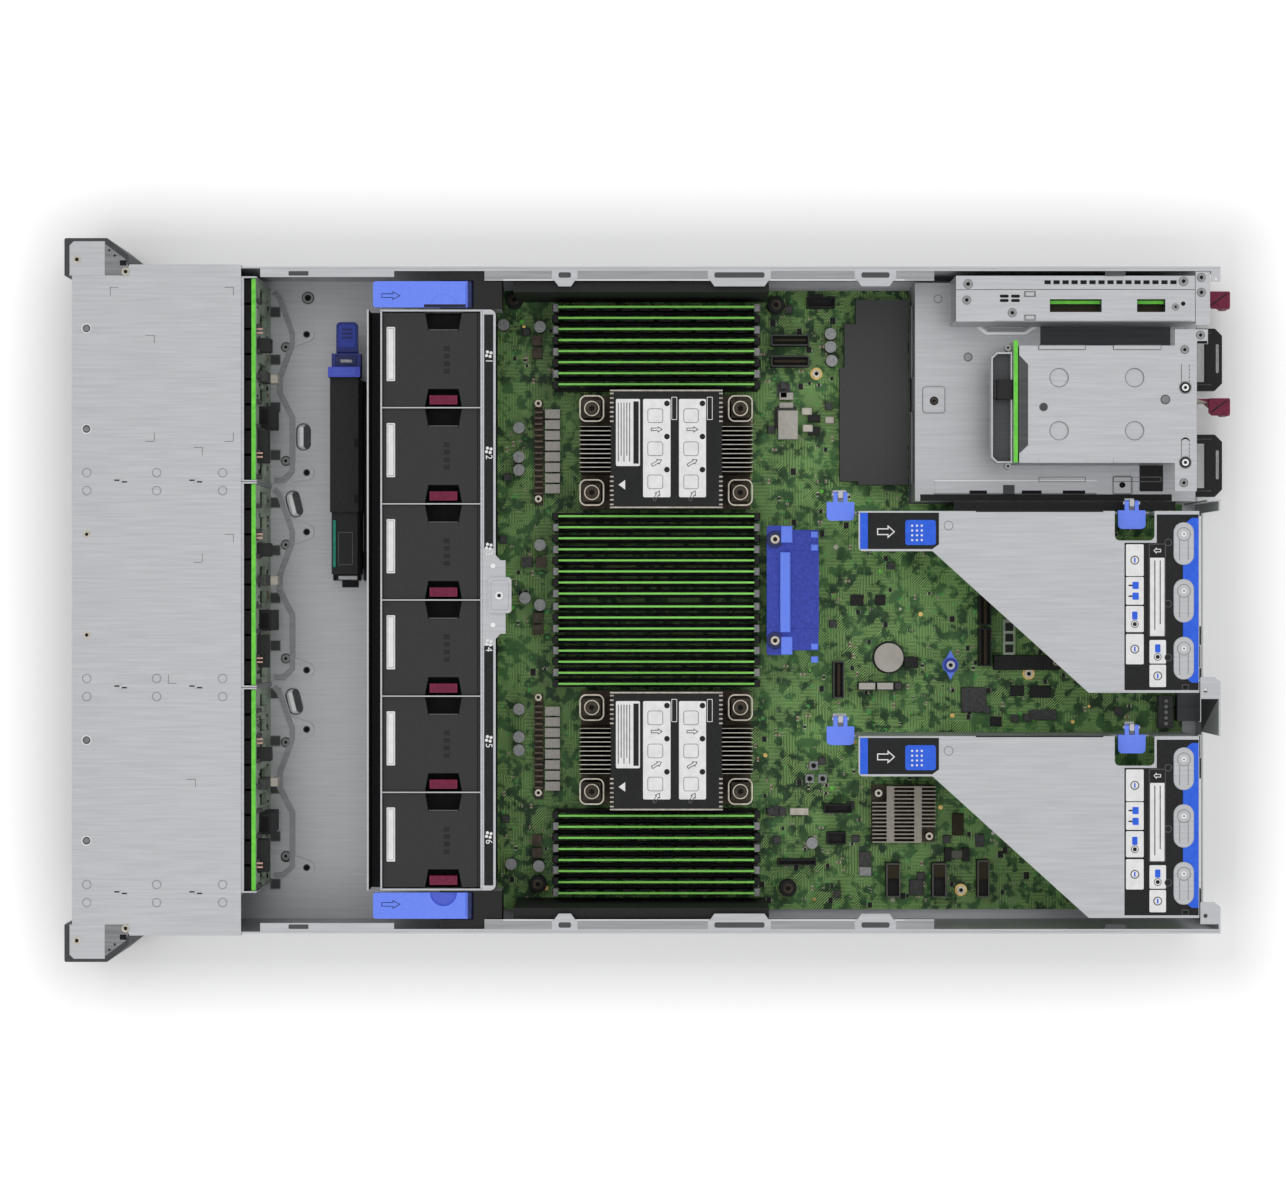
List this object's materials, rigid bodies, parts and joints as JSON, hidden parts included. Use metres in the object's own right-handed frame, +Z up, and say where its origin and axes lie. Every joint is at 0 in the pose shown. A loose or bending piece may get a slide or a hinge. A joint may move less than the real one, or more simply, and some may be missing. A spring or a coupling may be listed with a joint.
{
  "type": "two-unit rack server",
  "caption": "Flat rack-mount server with its top open: drive bays in front, lift-out fan cage, heat sinks, memory, risers and power supplies behind.",
  "frame": {"origin": "middle of the footprint, on the underside of the chassis", "axes": "+Y from the drive bays at the front to the power supplies at the rear, +X to the right seen from the front, +Z up"},
  "size_m": [0.4826, 0.788, 0.0873],
  "materials": {
    "galvanised_sheet": "satin",
    "fan_cage_sheet": "satin",
    "ear_plastic": "satin",
    "lever_plastic": "satin",
    "button_plastic": "satin",
    "circuit_board": "satin",
    "socket_plastic": "matte",
    "nickel_lid": "satin",
    "fin_aluminium": "satin",
    "component_case": "satin",
    "cell_steel": "satin",
    "dark_plastic": "matte",
    "rotor_plastic": "satin",
    "blue_plastic": "satin",
    "maroon_plastic": "satin",
    "drive_plastic": "satin",
    "psu_case": "satin"
  },
  "bodies": {
    "chassis": {"chassis_tray": "galvanised_sheet", "drive_bay_cover": "galvanised_sheet", "rear_wall": "galvanised_sheet", "rack_ear_left": "ear_plastic", "rack_ear_right": "ear_plastic", "drive_cages": "galvanised_sheet", "drive_backplanes": "circuit_board", "system_board": "circuit_board", "processor_sockets": "socket_plastic", "processors": "nickel_lid", "heat_sinks": "fin_aluminium", "memory_sockets": "socket_plastic", "memory_modules": "circuit_board", "board_components": "component_case", "board_connectors": "socket_plastic", "chipset_heat_sink": "fin_aluminium", "coin_cell": "cell_steel", "air_baffles": "dark_plastic", "board_handle": "blue_plastic", "power_board_cover": "dark_plastic", "psu_bay": "galvanised_sheet", "rear_drive_cage": "galvanised_sheet", "boot_device_cage": "galvanised_sheet", "energy_pack_holder": "dark_plastic"},
    "ear_lever_left": {"ear_lever_left": "lever_plastic"},
    "ear_lever_right": {"ear_lever_right": "lever_plastic"},
    "power_button": {"power_button": "button_plastic"},
    "fan_cage": {"fan_cage": "fan_cage_sheet"},
    "fan_cage_handle_left": {"fan_cage_handle_left": "blue_plastic"},
    "fan_cage_handle_right": {"fan_cage_handle_right": "blue_plastic"},
    "rear_drive_bank": {"rear_drive_bank": "drive_plastic"},
    "boot_device": {"boot_device": "drive_plastic"},
    "energy_pack": {"energy_pack": "dark_plastic"},
    "energy_pack_latch": {"energy_pack_latch": "blue_plastic"},
    "board_plunger": {"board_plunger": "blue_plastic"},
    "drive_bank_1": {"drive_bank_1": "drive_plastic"},
    "drive_bank_2": {"drive_bank_2": "drive_plastic"},
    "drive_bank_3": {"drive_bank_3": "drive_plastic"},
    "fan_housing_1": {"fan_housing_1": "dark_plastic"},
    "fan_rotor_1": {"fan_rotor_1": "rotor_plastic"},
    "fan_housing_2": {"fan_housing_2": "dark_plastic"},
    "fan_rotor_2": {"fan_rotor_2": "rotor_plastic"},
    "fan_housing_3": {"fan_housing_3": "dark_plastic"},
    "fan_rotor_3": {"fan_rotor_3": "rotor_plastic"},
    "fan_housing_4": {"fan_housing_4": "dark_plastic"},
    "fan_rotor_4": {"fan_rotor_4": "rotor_plastic"},
    "fan_housing_5": {"fan_housing_5": "dark_plastic"},
    "fan_rotor_5": {"fan_rotor_5": "rotor_plastic"},
    "fan_housing_6": {"fan_housing_6": "dark_plastic"},
    "fan_rotor_6": {"fan_rotor_6": "rotor_plastic"},
    "psu_1": {"psu_1": "psu_case"},
    "psu_latch_1": {"psu_latch_1": "maroon_plastic"},
    "riser_cage_1": {"riser_cage_1": "galvanised_sheet"},
    "psu_2": {"psu_2": "psu_case"},
    "psu_latch_2": {"psu_latch_2": "maroon_plastic"},
    "riser_cage_2": {"riser_cage_2": "galvanised_sheet"},
    "riser_tab_1": {"riser_tab_1": "blue_plastic"},
    "riser_tab_2": {"riser_tab_2": "blue_plastic"},
    "riser_tab_3": {"riser_tab_3": "blue_plastic"},
    "riser_tab_4": {"riser_tab_4": "blue_plastic"}
  },
  "joints": [
    {"name": "fan_cage_lift", "type": "slide", "parent": "chassis", "child": "fan_cage", "axis": [0, 0, 1], "range_m": [0, 0.11]},
    {"name": "fan_cage_handle_left_turn", "type": "hinge", "parent": "fan_cage", "child": "fan_cage_handle_left", "pos_m": [-0.204, -0.1254, 0.082], "axis": [-1, 0, 0], "range_deg": [0, 90]},
    {"name": "fan_cage_handle_right_turn", "type": "hinge", "parent": "fan_cage", "child": "fan_cage_handle_right", "pos_m": [0.204, -0.1254, 0.082], "axis": [-1, 0, 0], "range_deg": [0, 90]},
    {"name": "fan_housing_1_lift", "type": "slide", "parent": "fan_cage", "child": "fan_housing_1", "axis": [0, 0, 1], "range_m": [0, 0.09]},
    {"name": "fan_rotor_1_spin", "type": "hinge", "parent": "fan_housing_1", "child": "fan_rotor_1", "pos_m": [-0.1605, -0.14, 0.038], "axis": [0, 1, 0], "continuous": true},
    {"name": "riser_cage_1_lift", "type": "slide", "parent": "chassis", "child": "riser_cage_1", "axis": [0, 0, 1], "range_m": [0, 0.1]},
    {"name": "riser_tab_1_flip", "type": "hinge", "parent": "riser_cage_1", "child": "riser_tab_1", "pos_m": [-0.0706, 0.124, 0.0766], "axis": [0, -1, 0], "range_deg": [0, 90]},
    {"name": "riser_tab_2_flip", "type": "hinge", "parent": "riser_cage_1", "child": "riser_tab_2", "pos_m": [-0.065, 0.3191, 0.0766], "axis": [0, -1, 0], "range_deg": [0, 90]},
    {"name": "drive_bank_1_slide", "type": "slide", "parent": "chassis", "child": "drive_bank_1", "axis": [0, -1, 0], "range_m": [0, 0.11]},
    {"name": "psu_1_slide", "type": "slide", "parent": "chassis", "child": "psu_1", "axis": [0, 1, 0], "range_m": [0, 0.19]},
    {"name": "psu_latch_1_press", "type": "hinge", "parent": "psu_1", "child": "psu_latch_1", "pos_m": [-0.2099, 0.3704, 0.021], "axis": [0, 0, -1], "range_deg": [0, 12], "stiffness_Nm_per_rad": 0.05},
    {"name": "rear_drive_bank_slide", "type": "slide", "parent": "chassis", "child": "rear_drive_bank", "axis": [0, 1, 0], "range_m": [0, 0.11]},
    {"name": "boot_device_slide", "type": "slide", "parent": "chassis", "child": "boot_device", "axis": [0, 1, 0], "range_m": [0, 0.15]},
    {"name": "energy_pack_lift", "type": "slide", "parent": "chassis", "child": "energy_pack", "axis": [0, 0, 1], "range_m": [0, 0.1]},
    {"name": "energy_pack_latch_press", "type": "hinge", "parent": "energy_pack", "child": "energy_pack_latch", "pos_m": [-0.1695, -0.21, 0.04], "axis": [0, 1, 0], "range_deg": [0, 15], "stiffness_Nm_per_rad": 0.2},
    {"name": "ear_lever_left_turn", "type": "hinge", "parent": "chassis", "child": "ear_lever_left", "pos_m": [-0.2268, -0.3919, 0.045], "axis": [0, 0, 1], "range_deg": [0, 90]},
    {"name": "ear_lever_right_turn", "type": "hinge", "parent": "chassis", "child": "ear_lever_right", "pos_m": [0.2268, -0.3919, 0.045], "axis": [0, 0, -1], "range_deg": [0, 90]},
    {"name": "power_button_press", "type": "slide", "parent": "chassis", "child": "power_button", "axis": [0, 1, 0], "range_m": [0, 0.0015], "stiffness_N_per_m": 400},
    {"name": "board_plunger_pull", "type": "slide", "parent": "chassis", "child": "board_plunger", "axis": [0, 0, 1], "range_m": [0, 0.004], "stiffness_N_per_m": 300},
    {"name": "riser_cage_2_lift", "type": "slide", "parent": "chassis", "child": "riser_cage_2", "axis": [0, 0, 1], "range_m": [0, 0.1]},
    {"name": "riser_tab_3_flip", "type": "hinge", "parent": "riser_cage_2", "child": "riser_tab_3", "pos_m": [0.0797, 0.124, 0.0766], "axis": [0, -1, 0], "range_deg": [0, 90]},
    {"name": "riser_tab_4_flip", "type": "hinge", "parent": "riser_cage_2", "child": "riser_tab_4", "pos_m": [0.0853, 0.3191, 0.0766], "axis": [0, -1, 0], "range_deg": [0, 90]},
    {"name": "psu_2_slide", "type": "slide", "parent": "chassis", "child": "psu_2", "axis": [0, 1, 0], "range_m": [0, 0.19]},
    {"name": "psu_latch_2_press", "type": "hinge", "parent": "psu_2", "child": "psu_latch_2", "pos_m": [-0.1367, 0.3704, 0.021], "axis": [0, 0, -1], "range_deg": [0, 12], "stiffness_Nm_per_rad": 0.05},
    {"name": "drive_bank_2_slide", "type": "slide", "parent": "chassis", "child": "drive_bank_2", "axis": [0, -1, 0], "range_m": [0, 0.11]},
    {"name": "drive_bank_3_slide", "type": "slide", "parent": "chassis", "child": "drive_bank_3", "axis": [0, -1, 0], "range_m": [0, 0.11]},
    {"name": "fan_housing_2_lift", "type": "slide", "parent": "fan_cage", "child": "fan_housing_2", "axis": [0, 0, 1], "range_m": [0, 0.09]},
    {"name": "fan_housing_3_lift", "type": "slide", "parent": "fan_cage", "child": "fan_housing_3", "axis": [0, 0, 1], "range_m": [0, 0.09]},
    {"name": "fan_housing_4_lift", "type": "slide", "parent": "fan_cage", "child": "fan_housing_4", "axis": [0, 0, 1], "range_m": [0, 0.09]},
    {"name": "fan_housing_5_lift", "type": "slide", "parent": "fan_cage", "child": "fan_housing_5", "axis": [0, 0, 1], "range_m": [0, 0.09]},
    {"name": "fan_housing_6_lift", "type": "slide", "parent": "fan_cage", "child": "fan_housing_6", "axis": [0, 0, 1], "range_m": [0, 0.09]},
    {"name": "fan_rotor_2_spin", "type": "hinge", "parent": "fan_housing_2", "child": "fan_rotor_2", "pos_m": [-0.0963, -0.14, 0.038], "axis": [0, 1, 0], "continuous": true},
    {"name": "fan_rotor_3_spin", "type": "hinge", "parent": "fan_housing_3", "child": "fan_rotor_3", "pos_m": [-0.0321, -0.14, 0.038], "axis": [0, 1, 0], "continuous": true},
    {"name": "fan_rotor_4_spin", "type": "hinge", "parent": "fan_housing_4", "child": "fan_rotor_4", "pos_m": [0.0321, -0.14, 0.038], "axis": [0, 1, 0], "continuous": true},
    {"name": "fan_rotor_5_spin", "type": "hinge", "parent": "fan_housing_5", "child": "fan_rotor_5", "pos_m": [0.0963, -0.14, 0.038], "axis": [0, 1, 0], "continuous": true},
    {"name": "fan_rotor_6_spin", "type": "hinge", "parent": "fan_housing_6", "child": "fan_rotor_6", "pos_m": [0.1605, -0.14, 0.038], "axis": [0, 1, 0], "continuous": true}
  ]
}
